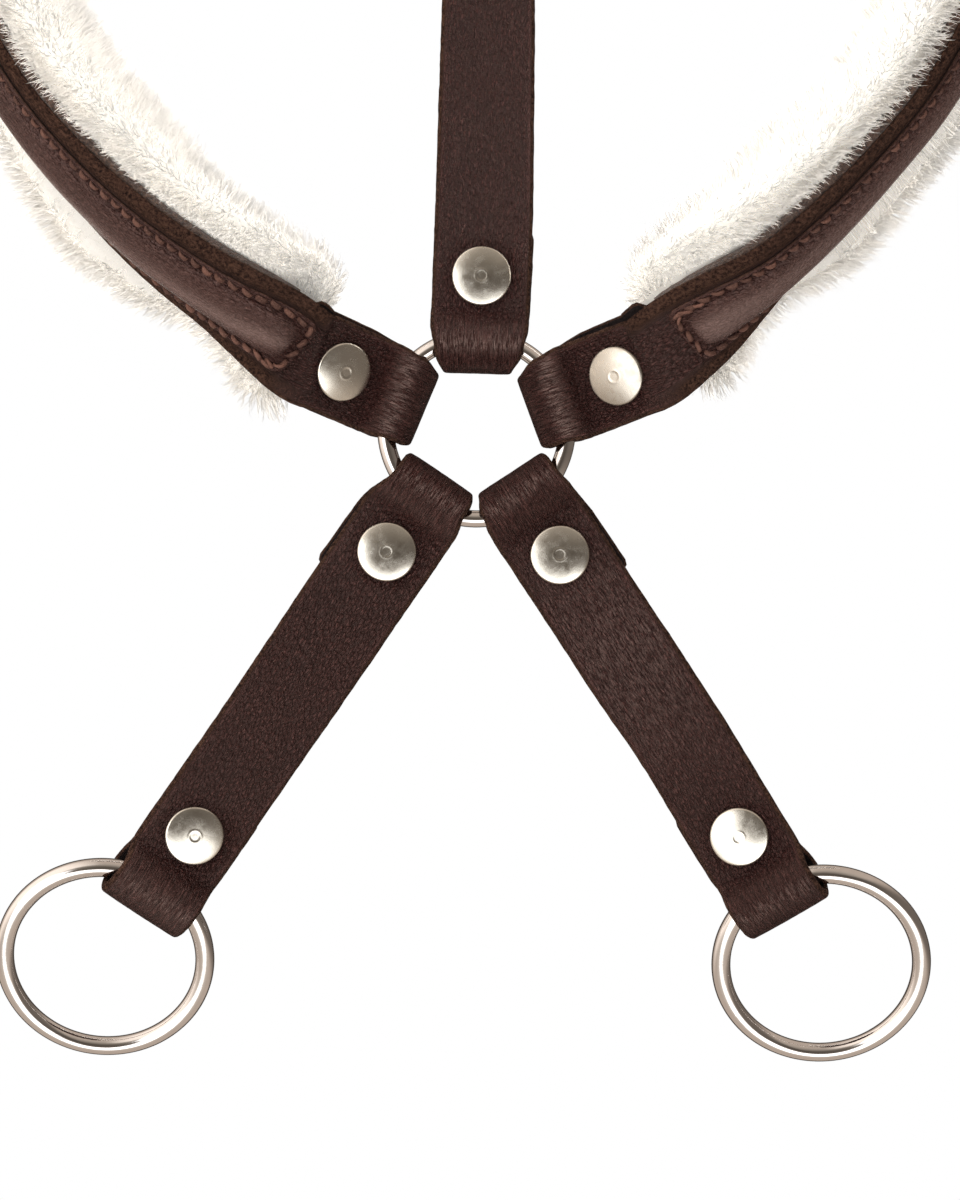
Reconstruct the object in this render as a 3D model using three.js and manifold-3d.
// Breastplate for a horse: five folded leather straps on a central ring.
// Every strap is doubled round the ring and held by a cap rivet, and carries
// a steel ring at its far end. The two neck straps are padded with fleece.
// Millimetres, +Z up. -Y is the outer (grain) side, +Y the horse's side.
// Left is -X and right is +X, as seen from the outer side.
import * as THREE from 'three';
import { mergeVertices } from 'three/addons/utils/BufferGeometryUtils.js';
import Module from 'manifold-3d';

const manifold = await Module();
manifold.setup();

// ------------------------------------------------------- shared dimensions
const LEATHER = 2.2;             // thickness of the strap leather
const GAP = 0.3;                 // air between neighbouring pieces
const LAYER_MID = GAP / 2 + LEATHER / 2;  // strap's middle to the middle of a layer
const FACE = GAP / 2 + LEATHER;  // strap's middle to its grain side
const APEX_R = 11.3;             // centre of the middle ring to the outside of a fold
const END_RIVET = 20.3;          // outer rivet to the outside of the end fold
const TAB = 10.5;                // tail of a fold beyond its rivet
const NECK_TAB = 15.0;           // the same at the ring end of a neck strap

const OUTWARD = new THREE.Vector3(0, -1, 0);
const radians = (degrees) => (degrees * Math.PI) / 180;
const { smoothstep } = THREE.MathUtils;

// --------------------------------------------------------------- materials
const material = (settings) => new THREE.MeshStandardMaterial(settings);
const leather = () => material({ color: 0x422d2c, roughness: 0.48, metalness: 0 });
const overlayLeather = () => material({ color: 0x4d3e3b, roughness: 0.42, metalness: 0 });
const suede = () => material({ color: 0x4a362d, roughness: 0.95, metalness: 0 });
const fleece = () => material({ color: 0xf7f4ee, roughness: 1, metalness: 0 });
const thread = () => material({ color: 0x5d3428, roughness: 0.8, metalness: 0 });
const cord = () => material({ color: 0xcfc7b8, roughness: 0.9, metalness: 0 });
const steel = () => material({ color: 0xc9c8c6, roughness: 0.12, metalness: 1 });
const nickel = () => material({ color: 0xb7aea0, roughness: 0.28, metalness: 1 });

const breastplate = new THREE.Group();
function add(name, geometry, meshMaterial) {
  const mesh = new THREE.Mesh(geometry, meshMaterial);
  mesh.name = name;
  breastplate.add(mesh);
}

// ------------------------------------------------------------ number tools
// Straight-line lookup in a table of [x, value], held constant past its ends.
function interpolate(table, x) {
  if (x <= table[0][0]) return table[0][1];
  for (let i = 1; i < table.length; i++) {
    const [x0, value0] = table[i - 1];
    const [x1, value1] = table[i];
    if (x <= x1) return value0 + ((value1 - value0) * (x - x0)) / (x1 - x0);
  }
  return table.at(-1)[1];
}

// Even steps from start to end, both included, as near to size as will fit.
function steps(start, end, size) {
  const count = Math.max(1, Math.round((end - start) / size));
  return Array.from({ length: count + 1 }, (_, i) => start + ((end - start) * i) / count);
}

// Unit normals of an open line of [x, y] points, a quarter turn on from its run.
function lineNormals(line) {
  return line.map((_, i) => {
    const before = line[Math.max(0, i - 1)];
    const after = line[Math.min(line.length - 1, i + 1)];
    const dx = after[0] - before[0];
    const dy = after[1] - before[1];
    const length = Math.hypot(dx, dy);
    return [-dy / length, dx / length];
  });
}

// ---------------------------------------------------------- geometry tools
// Welds the corners, drops collapsed triangles and turns the faces outward.
function tidy(geometry) {
  const bare = geometry.clone();
  bare.deleteAttribute('normal');
  bare.deleteAttribute('uv');
  const welded = mergeVertices(bare, 1e-4);
  const points = welded.attributes.position;
  const corners = welded.index.array;
  const kept = [];
  let volume = 0;
  for (let i = 0; i < corners.length; i += 3) {
    const [a, b, c] = corners.slice(i, i + 3);
    if (a === b || b === c || a === c) continue;
    const [first, second, third] = [a, b, c].map(
      (corner) => new THREE.Vector3().fromBufferAttribute(points, corner));
    volume += first.dot(second.cross(third));
    kept.push(a, b, c);
  }
  if (volume < 0) {
    for (let i = 0; i < kept.length; i += 3) {
      [kept[i + 1], kept[i + 2]] = [kept[i + 2], kept[i + 1]];
    }
  }
  welded.setIndex(kept);
  return welded;
}

function toManifold(geometry) {
  const clean = tidy(geometry);
  return new manifold.Manifold(new manifold.Mesh({
    numProp: 3,
    vertProperties: new Float32Array(clean.attributes.position.array),
    triVerts: new Uint32Array(clean.index.array),
  }));
}

function fromManifold(solid) {
  const { vertProperties, triVerts, numProp } = solid.getMesh();
  const count = vertProperties.length / numProp;
  const positions = new Float32Array(count * 3);
  for (let i = 0; i < count; i++) {
    for (let k = 0; k < 3; k++) positions[3 * i + k] = vertProperties[i * numProp + k];
  }
  const geometry = new THREE.BufferGeometry();
  geometry.setAttribute('position', new THREE.BufferAttribute(positions, 3));
  geometry.setIndex(Array.from(triVerts));
  return geometry;
}

// Every wall quad is split from its low-x corner to its next high-x corner,
// so two layers that face each other on a twisted strap stay apart.
function splitWallsAlike(geometry) {
  const points = geometry.attributes.position;
  for (let i = geometry.groups[1].start; i + 5 < points.count; i += 6) {
    const quad = [0, 1, 2, 3, 4, 5].map(
      (k) => new THREE.Vector3().fromBufferAttribute(points, i + k));
    if (quad[1].x <= quad[0].x) continue;
    [0, 1, 4, 0, 4, 5].forEach((from, k) => points.setXYZ(i + k, ...quad[from]));
  }
}

// An outline extruded through count stations; place(x, y, k) puts station k.
function extrudeStations(outline, count, place) {
  const shape = new THREE.Shape(outline.map(([x, y]) => new THREE.Vector2(x, y)));
  const geometry = new THREE.ExtrudeGeometry(shape, {
    depth: count - 1,
    steps: count - 1,
    bevelEnabled: false,
  });
  splitWallsAlike(geometry);
  const points = geometry.attributes.position;
  for (let i = 0; i < points.count; i++) {
    const placed = place(points.getX(i), points.getY(i), Math.round(points.getZ(i)));
    points.setXYZ(i, ...placed);
  }
  return tidy(geometry);
}

// ------------------------------------------------------------- strap paths
const PATH_SAMPLES = 3000;
const END_SAMPLES = 6;        // samples that give the direction at a path's end
const TANGENT_REACH = 0.4;    // half the span a tangent is taken over
const TWIST_STEP = 2;         // the twist is averaged over 7 places this far apart

// A strap's middle line with the frame that carries it: tangent along the
// strap, face out of its grain side, side across it. twist is a list of
// [distance, degrees], a negative distance counting back from the far end;
// turn is +1 or -1 and sets which way it twists.
class Path {
  constructor(points, twist = [[0, 0]], turn = 1) {
    const knots = points.map((point) => new THREE.Vector3(...point));
    this.points = new THREE.CatmullRomCurve3(knots, false, 'centripetal').getPoints(PATH_SAMPLES);
    this.distances = [0];
    for (let i = 1; i < this.points.length; i++) {
      this.distances.push(this.distances[i - 1] + this.points[i].distanceTo(this.points[i - 1]));
    }
    this.length = this.distances.at(-1);
    this.twist = twist.map(([along, angle]) => [along < 0 ? this.length + along : along, angle]);
    this.turn = turn;
  }

  // A point straight on past sample end, away from sample inner.
  beyond(end, inner, distance) {
    const direction = this.points[end].clone().sub(this.points[inner]).normalize();
    return this.points[end].clone().addScaledVector(direction, distance);
  }

  position(along) {
    const { points, distances, length } = this;
    const last = points.length - 1;
    if (along <= 0) return this.beyond(0, END_SAMPLES, -along);
    if (along >= length) return this.beyond(last, last - END_SAMPLES, along - length);
    let low = 0;
    let high = last;
    while (high - low > 1) {
      const half = (low + high) >> 1;
      if (distances[half] <= along) low = half;
      else high = half;
    }
    const fraction = (along - distances[low]) / (distances[high] - distances[low]);
    return points[low].clone().lerp(points[high], fraction);
  }

  frame(along) {
    const tangent = this.position(along + TANGENT_REACH)
      .sub(this.position(along - TANGENT_REACH)).normalize();
    const flatFace = OUTWARD.clone().addScaledVector(tangent, -OUTWARD.dot(tangent)).normalize();
    const flatSide = tangent.clone().cross(flatFace);
    let angle = 0;
    for (let k = -3; k <= 3; k++) angle += interpolate(this.twist, along + TWIST_STEP * k) / 7;
    const cosine = Math.cos(radians(angle));
    const sine = Math.sin(radians(angle)) * this.turn;
    const face = flatFace.clone().multiplyScalar(cosine).addScaledVector(flatSide, -sine);
    const side = flatSide.clone().multiplyScalar(cosine).addScaledVector(flatFace, sine);
    return { origin: this.position(along), tangent, face, side };
  }

  at(along, across, out) {
    const { origin, face, side } = this.frame(along);
    return origin.addScaledVector(side, across).addScaledVector(face, out);
  }
}

// A point at an angle from +X and a distance from the middle ring's centre.
const radial = (degrees, distance, y = 0) => [
  distance * Math.cos(radians(degrees)), y, distance * Math.sin(radians(degrees))];
const inPlane = ([x, z]) => [x, 0, z];

const CENTRE_ANGLE = 88.3;
const CENTRE = new Path([
  ...[0, 4, 8, 12].map((beyondFold) => radial(CENTRE_ANGLE, APEX_R + beyondFold)),
  // [x, z]
  ...[[1.2, 35], [1.67, 47.5], [2.0, 64.2], [2.5, 89.2], [3.0, 140], [3.3, 200],
    [3.4, 216.7], [3.5, 233.3], [3.6, 250]].map(inPlane),
]);

// A neck strap leaves the ring in its plane, then climbs off it at a slope:
// [distance from the ring's centre, y]
const CLIMB = [[APEX_R, 0], [15.3, 0], [19.3, 0], [22.6, 0], [24.8, -0.9], [27.8, -2.75],
  [31.3, -4.9], [35.3, -7.35], [38.0, -9.0]];
// Upper run of both neck straps: [x outward from the middle, y, z]
const NECK_UPPER = [[111, -13, 103], [121, -12.7, 135], [128, -12.3, 172], [131, -12, 212],
  [130, -12, 252], [128, -12, 269.7], [126, -12, 287.3], [124, -12, 305]];
const NECK_UPPER_TWIST = [[130, 80], [200, 86]];

// side is -1 for the left strap, +1 for the right; bend is a list of [x, y, z].
const neckPath = (side, angle, bend, twist) => new Path([
  ...CLIMB.map(([distance, y]) => radial(angle, distance, y)),
  ...bend,
  ...NECK_UPPER.map(([x, y, z]) => [side * x, y, z]),
], [...twist, ...NECK_UPPER_TWIST], -side);

const LEFT_NECK = neckPath(-1, 157.5, [
  [-41.5, -11.6, 19.9], [-49.0, -13.0, 25.3], [-58.8, -13.2, 32.2], [-68.6, -13.2, 40.0],
  [-80.8, -13.2, 52.1], [-91.9, -13.2, 66.3], [-99.3, -13.2, 78.8],
], [[31, 0], [48.5, 43], [73, 56], [108, 74]]);
const RIGHT_NECK = neckPath(1, 20, [
  [42.6, -11.8, 18.6], [49.8, -13.0, 24.3], [58.1, -13.2, 31.0], [67.9, -13.2, 40.0],
  [77.2, -13.2, 50.0], [90.6, -13.2, 66.0], [98.2, -13.2, 78.3],
], [[31, 0], [37, 13], [59.5, 63], [86.4, 76], [107, 78]]);

const LOWER_TWIST = [[28, 0], [-50, 13.5]];
// The left lower strap is straight; the list holds distances down it.
const LEFT_LOWER = new Path([0, 15, 35, 55, 75, 95, 111.6].map(
  (distance) => inPlane([-7.3 - 0.5675 * distance, -9.3 - 0.8234 * distance])), LOWER_TWIST, 1);
// [x, z]
const RIGHT_LOWER = new Path([[6.35, -9.7], [10.6, -16.2], [14.9, -22.7], [23.5, -35.8],
  [33.2, -50.3], [43.1, -65.0], [50.6, -77.4], [58.1, -89.7], [65.6, -102.1],
].map(inPlane), LOWER_TWIST, -1);

// One set of stations for every layer of a strap, so the layers' facets agree.
const centreStations = (length) => [
  ...steps(20, 60, 10), ...steps(90, length - 46, 30), length - 38, length - 24];
const lowerStations = (length) => [...steps(20, length - 46, 10), length - 38, length - 24];
const neckStations = (length) => [
  ...steps(19, 31, 4), ...steps(33.5, 61, 2.5), ...steps(69, 117, 8),
  ...steps(132, length - 46, 16), length - 40, length - 34, length - 24];

// ----------------------------------------------------------- folded straps
const CAVITY = 3.3;           // half the room inside the middle ring's folds
const END_CAVITY = 3.6;       // the same at the end rings
const NECK_S = 13.2;          // outside of a fold to where its two layers meet
const CLOSED_S = NECK_S + 0.6;  // where the layers run parallel
const TAB_STEP = 5;
const BEND_STEPS = 5;         // from the closed layers to the round of a fold
const ROUND_STEPS = 10;       // facets round a fold
const END_HALF = 9.7;         // half width at the end fold
const END_BLEND = [8, 16];    // the width changes between these distances from the end
const FOLD_MARGIN = 1.5;      // the body's stations keep this far from a fold's neck

const HOLE_R = 2.05;
const DRILL_LENGTH = 12;
const DRILL_SEG = 14;

// Half widths, [distance along, half width]: drawn in where the five folds
// crowd the ring.
const CROWDED = [[0, 6.6], [1, 7.15], [2, 7.6], [4, 8.2], [7, 8.65]];
const CENTRE_WIDTHS = [...CROWDED, [10.5, 10.3], [30, 10.3], [90, 9.6]];
const LEFT_LOWER_WIDTHS = [...CROWDED, [10.5, 10.3]];
const OTHER_WIDTHS = [...CROWDED, [10.5, 10.1]];

// Middle line of a fold as [along, out], from the tab's tail round the outside
// to the face layer; along runs from the outside of the fold into the strap.
function foldLine(cavity, tail) {
  const radius = cavity + LEATHER / 2;
  const centre = LEATHER / 2 + radius;
  const tabSteps = Math.max(2, Math.round((tail - NECK_S) / TAB_STEP));
  const tab = steps(0, tabSteps, 1).slice(0, -1).map(
    (i) => [tail + ((CLOSED_S - tail) * i) / tabSteps, -LAYER_MID]);
  const bend = new THREE.CubicBezierCurve(
    new THREE.Vector2(CLOSED_S, LAYER_MID),
    new THREE.Vector2(NECK_S - 2.4, LAYER_MID),
    new THREE.Vector2(centre + 4.2, radius),
    new THREE.Vector2(centre, radius),
  ).getPoints(BEND_STEPS).slice(0, -1).map(({ x, y }) => [x, y]);
  const round = [];
  for (let i = 0; i <= ROUND_STEPS; i++) {
    const angle = -Math.PI / 2 + (Math.PI * i) / ROUND_STEPS;
    round.push([centre - radius * Math.cos(angle), radius * Math.sin(angle)]);
  }
  return [...tab, ...bend.map(([along, out]) => [along, -out]), ...round, ...bend.reverse()];
}

function strapGeometry({ path, widths, stations, tab }, rivets) {
  const { length } = path;
  const body = stations(length).filter((along) => along > NECK_S + FOLD_MARGIN
    && along < length - NECK_S - FOLD_MARGIN);
  const line = [
    ...foldLine(CAVITY, rivets[0] + tab),
    ...body.map((along) => [along, LAYER_MID]),
    ...foldLine(END_CAVITY, END_RIVET + TAB).map(([along, out]) => [length - along, out]).reverse(),
  ];
  const normals = lineNormals(line);
  const place = (x, y, k) => {
    const [along, out] = line[k];
    const blend = smoothstep(length - along, ...END_BLEND);
    const half = interpolate(widths, along) * blend + END_HALF * (1 - blend);
    return path.at(along + normals[k][0] * y, x * half, out + normals[k][1] * y);
  };
  const layer = LEATHER / 2;
  const section = [[-1, -layer], [1, -layer], [1, layer], [-1, layer]];
  let solid = toManifold(extrudeStations(section, line.length, place));
  for (const along of rivets) {
    const drill = new THREE.CylinderGeometry(HOLE_R, HOLE_R, DRILL_LENGTH, DRILL_SEG);
    solid = solid.subtract(toManifold(drill.applyMatrix4(rivetMatrix(path, along))));
  }
  return fromManifold(solid);
}

// ------------------------------------------------------------------ rivets
const CAP_R = 6.25;
const CAP_H = 1.9;
const CAP_SEG = 18;
const POST_R = 1.65;
const POST_END = 0.75;        // post beyond the back's seat
const BACK_R = 4.9;
const BACK_SEG = 16;
const BORE_R = POST_R + 0.35; // recess in the back, round the post
const BORE_DEPTH = 1.1;
const RIVET_SEAT = FACE + GAP;  // strap's middle to the underside of cap or back

// [radius, height above the middle of the strap]
const CAP_PROFILE = [
  [0, -RIVET_SEAT - POST_END], [POST_R, -RIVET_SEAT - POST_END], [POST_R, RIVET_SEAT],
  [CAP_R - 0.35, RIVET_SEAT], [CAP_R, RIVET_SEAT + 0.45],
  [CAP_R * 0.8, RIVET_SEAT + CAP_H * 0.72], [CAP_R * 0.42, RIVET_SEAT + CAP_H],
  [0, RIVET_SEAT + CAP_H],
];
// [radius, depth below the seat], turned to heights
const BACK_PROFILE = [
  [BORE_R, 0], [BACK_R, 0], [BACK_R, 0.7], [BACK_R * 0.7, 1.35], [0, 1.55],
  [0, BORE_DEPTH], [BORE_R, BORE_DEPTH], [BORE_R, 0],
].map(([radius, depth]) => [radius, -RIVET_SEAT - depth]);

// Local +Y of a rivet is out of the grain side, its origin is between the layers.
function rivetMatrix(path, along) {
  const { origin, tangent, face, side } = path.frame(along);
  return new THREE.Matrix4().makeBasis(side.negate(), face, tangent).setPosition(origin);
}

function turned(profile, segments, matrix) {
  const outline = profile.map(([x, y]) => new THREE.Vector2(x, y));
  return tidy(new THREE.LatheGeometry(outline, segments).applyMatrix4(matrix));
}

function addRivet(name, path, along) {
  const matrix = rivetMatrix(path, along);
  add(`${name}_cap`, turned(CAP_PROFILE, CAP_SEG, matrix), nickel());
  add(`${name}_back`, turned(BACK_PROFILE, BACK_SEG, matrix), nickel());
}

// ------------------------------------------------------------------- rings
const CENTRE_RING_R = 18.9;   // to the middle of the wire
const CENTRE_WIRE_R = 1.8;
const END_RING_R = 21.0;      // to the middle of the wire
const END_WIRE_R = 2.0;
const RING_SEG = 32;          // facets round a ring
const WIRE_SEG = 8;           // facets round its wire
const END_HINGE = 6.9;        // outside of the end fold to the hinge line
const END_OFFSET = 20.0;      // end ring's centre to its hinge line

function addCentreRing() {
  const ring = new THREE.TorusGeometry(CENTRE_RING_R, CENTRE_WIRE_R, WIRE_SEG, RING_SEG);
  add('centre_ring', tidy(ring.rotateX(Math.PI / 2)), steel());
}

// swing is in degrees toward the grain side, shift in mm across the strap.
function addEndRing(name, path, swing, shift) {
  const { origin, tangent, face, side } = path.frame(path.length - END_HINGE);
  const direction = tangent.clone().multiplyScalar(Math.cos(radians(swing)))
    .addScaledVector(face, Math.sin(radians(swing)));
  const axis = side.clone().cross(direction);
  const centre = origin.addScaledVector(direction, END_OFFSET).addScaledVector(side, shift);
  const ring = new THREE.TorusGeometry(END_RING_R, END_WIRE_R, WIRE_SEG, RING_SEG);
  ring.applyMatrix4(new THREE.Matrix4().makeBasis(side, direction, axis).setPosition(centre));
  add(name, tidy(ring), steel());
}

// --------------------------------------------------------- the five straps
// innerRivet is measured from the outside of the fold on the middle ring.
const STRAPS = [
  { name: 'centre', path: CENTRE, widths: CENTRE_WIDTHS, stations: centreStations,
    innerRivet: 20.3, tab: TAB, swing: 0, shift: 0 },
  { name: 'left_neck', path: LEFT_NECK, widths: OTHER_WIDTHS, stations: neckStations,
    innerRivet: 20.9, tab: NECK_TAB, swing: 0, shift: 0 },
  { name: 'right_neck', path: RIGHT_NECK, widths: OTHER_WIDTHS, stations: neckStations,
    innerRivet: 22.0, tab: NECK_TAB, swing: 0, shift: 0 },
  { name: 'left_lower', path: LEFT_LOWER, widths: LEFT_LOWER_WIDTHS, stations: lowerStations,
    innerRivet: 20.0, tab: TAB, swing: -18.8, shift: -0.9 },
  { name: 'right_lower', path: RIGHT_LOWER, widths: OTHER_WIDTHS, stations: lowerStations,
    innerRivet: 20.0, tab: TAB, swing: -18.8, shift: 1.0 },
];

function addStrap(strap) {
  const { name, path, innerRivet, swing, shift } = strap;
  const rivets = [innerRivet, path.length - END_RIVET];
  add(`${name}_strap`, strapGeometry(strap, rivets), leather());
  addRivet(`${name}_inner_rivet`, path, rivets[0]);
  addRivet(`${name}_outer_rivet`, path, rivets[1]);
  addEndRing(`${name}_end_ring`, path, swing, shift);
}

// -------------------------------------------------- padding of a neck strap
// Names ending in _END are distances back from the strap's far end.
const STATION_MARGIN = 1.2;   // stations this near a piece's end are left out

function stationsBetween(path, start, end) {
  const between = neckStations(path.length).filter(
    (along) => along > start + STATION_MARGIN && along < end - STATION_MARGIN);
  return [start, ...between, end];
}

// An outline of [across, out] swept from start to end, raised by base.
function sweep(path, outline, start, end, base = 0) {
  const stations = stationsBetween(path, start, end);
  return extrudeStations(outline, stations.length,
    (x, y, k) => path.at(stations[k], x, base + y));
}

// Lining leather on the strap's flesh side
const LINING_HALF = 9.9;
const LINING_T = 1.8;
const LINING_START = 39.2;
const LINING_END = 36;

function addLining(name, path) {
  const top = -GAP;
  const bottom = top - LINING_T;
  const outline = [[-LINING_HALF, bottom], [LINING_HALF, bottom],
    [LINING_HALF, top], [-LINING_HALF, top]];
  add(`${name}_lining`, sweep(path, outline, LINING_START, path.length - LINING_END), suede());
}

// Raised strip: a flange either side of a hollow ridge
const STRIP_BASE = FACE + GAP + 0.15;
const STRIP_END = 34;
const FLANGE_W = 6.8;         // half width of the flange
const FLANGE_T = 1.0;
const RIDGE_FOOT = 4.6 + 0.2; // half width of the ridge at the flange
const RIDGE_H = 3.7;
const HOLLOW_H = RIDGE_H - 1.3;
const STRIP_OUTLINE = [
  [-FLANGE_W, 0], [-3.7, 0], [-2.7, HOLLOW_H], [2.7, HOLLOW_H], [3.7, 0], [FLANGE_W, 0],
  [FLANGE_W, FLANGE_T], [RIDGE_FOOT, FLANGE_T], [3.0, RIDGE_H],
  [-3.0, RIDGE_H], [-RIDGE_FOOT, FLANGE_T], [-FLANGE_W, FLANGE_T],
];

function addOverlay(name, path, start) {
  const geometry = sweep(path, STRIP_OUTLINE, start, path.length - STRIP_END, STRIP_BASE);
  add(`${name}_overlay`, geometry, overlayLeather());
}

// Cord that fills the ridge
const CORD_INSET = 2.5;       // from either end of the strip
const CORD_TOP = RIDGE_H - 1.65;
const CORD_OUTLINE = [[-2.9, 0.2], [2.9, 0.2], [2.2, CORD_TOP], [-2.2, CORD_TOP]];

function addCord(name, path, start) {
  const end = path.length - STRIP_END - CORD_INSET;
  const geometry = sweep(path, CORD_OUTLINE, start + CORD_INSET, end, STRIP_BASE);
  add(`${name}_padding_cord`, geometry, cord());
}

// One row of thread: down one flange, round the strip's end and back
const STITCH_W = 5.75;        // stitch line from the strip's middle
const STITCH_INSET = 1.1;     // from the strip's start
const STITCH_END = 36;
const CORNER_R = 2.2;
const CORNER_STEPS = 4;
const CORNER_RUN_OUT = 3;     // corner to the first straight station
const CROSSING_W = STITCH_W - 0.4;  // nearer the middle than this, it rides over the ridge
const THREAD_HALF = 0.4;
const THREAD_H = 0.56;
const THREAD_OUTLINE = [[-THREAD_HALF, 0], [THREAD_HALF, 0],
  [THREAD_HALF, THREAD_H], [-THREAD_HALF, THREAD_H]];

function addStitching(name, path, stripStart) {
  const start = stripStart + STITCH_INSET;
  const straight = stationsBetween(path, start + CORNER_R + CORNER_RUN_OUT,
    path.length - STITCH_END);
  const half = straight.reverse().map((along) => [along, -STITCH_W]);
  for (let i = 0; i <= CORNER_STEPS; i++) {
    const angle = (Math.PI / 2) * (i / CORNER_STEPS);
    half.push([start + CORNER_R - CORNER_R * Math.sin(angle),
      -STITCH_W + CORNER_R - CORNER_R * Math.cos(angle)]);
  }
  const run = [...half, ...half.map(([along, across]) => [along, -across]).reverse()];
  const normals = lineNormals(run);
  const base = STRIP_BASE + FLANGE_T + GAP;
  const geometry = extrudeStations(THREAD_OUTLINE, run.length, (x, y, k) => {
    const [along, across] = run[k];
    const lift = Math.abs(across) < CROSSING_W ? RIDGE_H - FLANGE_T : 0;
    return path.at(along + normals[k][0] * x, across + normals[k][1] * x, base + lift + y);
  });
  add(`${name}_stitching`, geometry, thread());
}

// Fleece pad behind the strap, smaller and set further back at both ends
const PAD_W = 21.0;           // half width
const PAD_T = 11.5;           // thickness
const PAD_END = 31;
const PAD_SEG = 12;
const PAD_ROUNDING = 14;      // length over which an end grows to full size
const PAD_END_TOP = -4.9;     // level of the pad's outer side at its ends
const PAD_RISE = 2.15;        // how much higher it lies between them
const RISE_SPAN = [38.4, 43.5];
const FALL_START = 38;        // back from the far end
const FALL_LENGTH = 3;

function padOutline() {
  const signedPower = (value, power) => Math.sign(value) * Math.abs(value) ** power;
  return Array.from({ length: PAD_SEG }, (_, i) => {
    const angle = (2 * Math.PI * i) / PAD_SEG;
    return [signedPower(Math.cos(angle), 0.7), signedPower(Math.sin(angle), 0.8)];
  });
}

function addFleece(name, path, start) {
  const end = path.length - PAD_END;
  const fallStart = path.length - FALL_START;
  const stations = stationsBetween(path, start, end);
  const geometry = extrudeStations(padOutline(), stations.length, (x, y, k) => {
    const along = stations[k];
    const fall = Math.min(1, Math.max(0, (along - fallStart) / FALL_LENGTH));
    const top = PAD_END_TOP + PAD_RISE * (smoothstep(along, ...RISE_SPAN) - fall);
    const fromEnd = Math.min(along - start, end - along);
    const growth = Math.min(1, fromEnd / PAD_ROUNDING);
    const round = Math.sqrt(Math.max(0, 1 - (1 - growth) ** 2));
    const halfWidth = PAD_W * (0.74 + 0.26 * round);
    const thickness = PAD_T * (0.55 + 0.45 * round);
    return path.at(along, x * halfWidth, top - thickness / 2 + (y * thickness) / 2);
  });
  add(`${name}_fleece`, geometry, fleece());
}

function dressNeckStrap(name, path, { stripStart, padStart }) {
  addLining(name, path);
  addOverlay(name, path, stripStart);
  addCord(name, path, stripStart);
  addStitching(name, path, stripStart);
  addFleece(name, path, padStart);
}

// ---------------------------------------------------------------- assembly
addCentreRing();
STRAPS.forEach(addStrap);
dressNeckStrap('left_neck', LEFT_NECK, { stripStart: 31.5, padStart: 27.5 });
dressNeckStrap('right_neck', RIGHT_NECK, { stripStart: 38.5, padStart: 33.5 });

// The origin is the middle of the whole breastplate's box, to 0.01 mm.
const middle = new THREE.Box3().setFromObject(breastplate, true).getCenter(new THREE.Vector3());
const hundredths = (value) => Math.round(value * 100) / 100;
breastplate.position.set(-hundredths(middle.x), -hundredths(middle.y), -hundredths(middle.z));

export default breastplate;
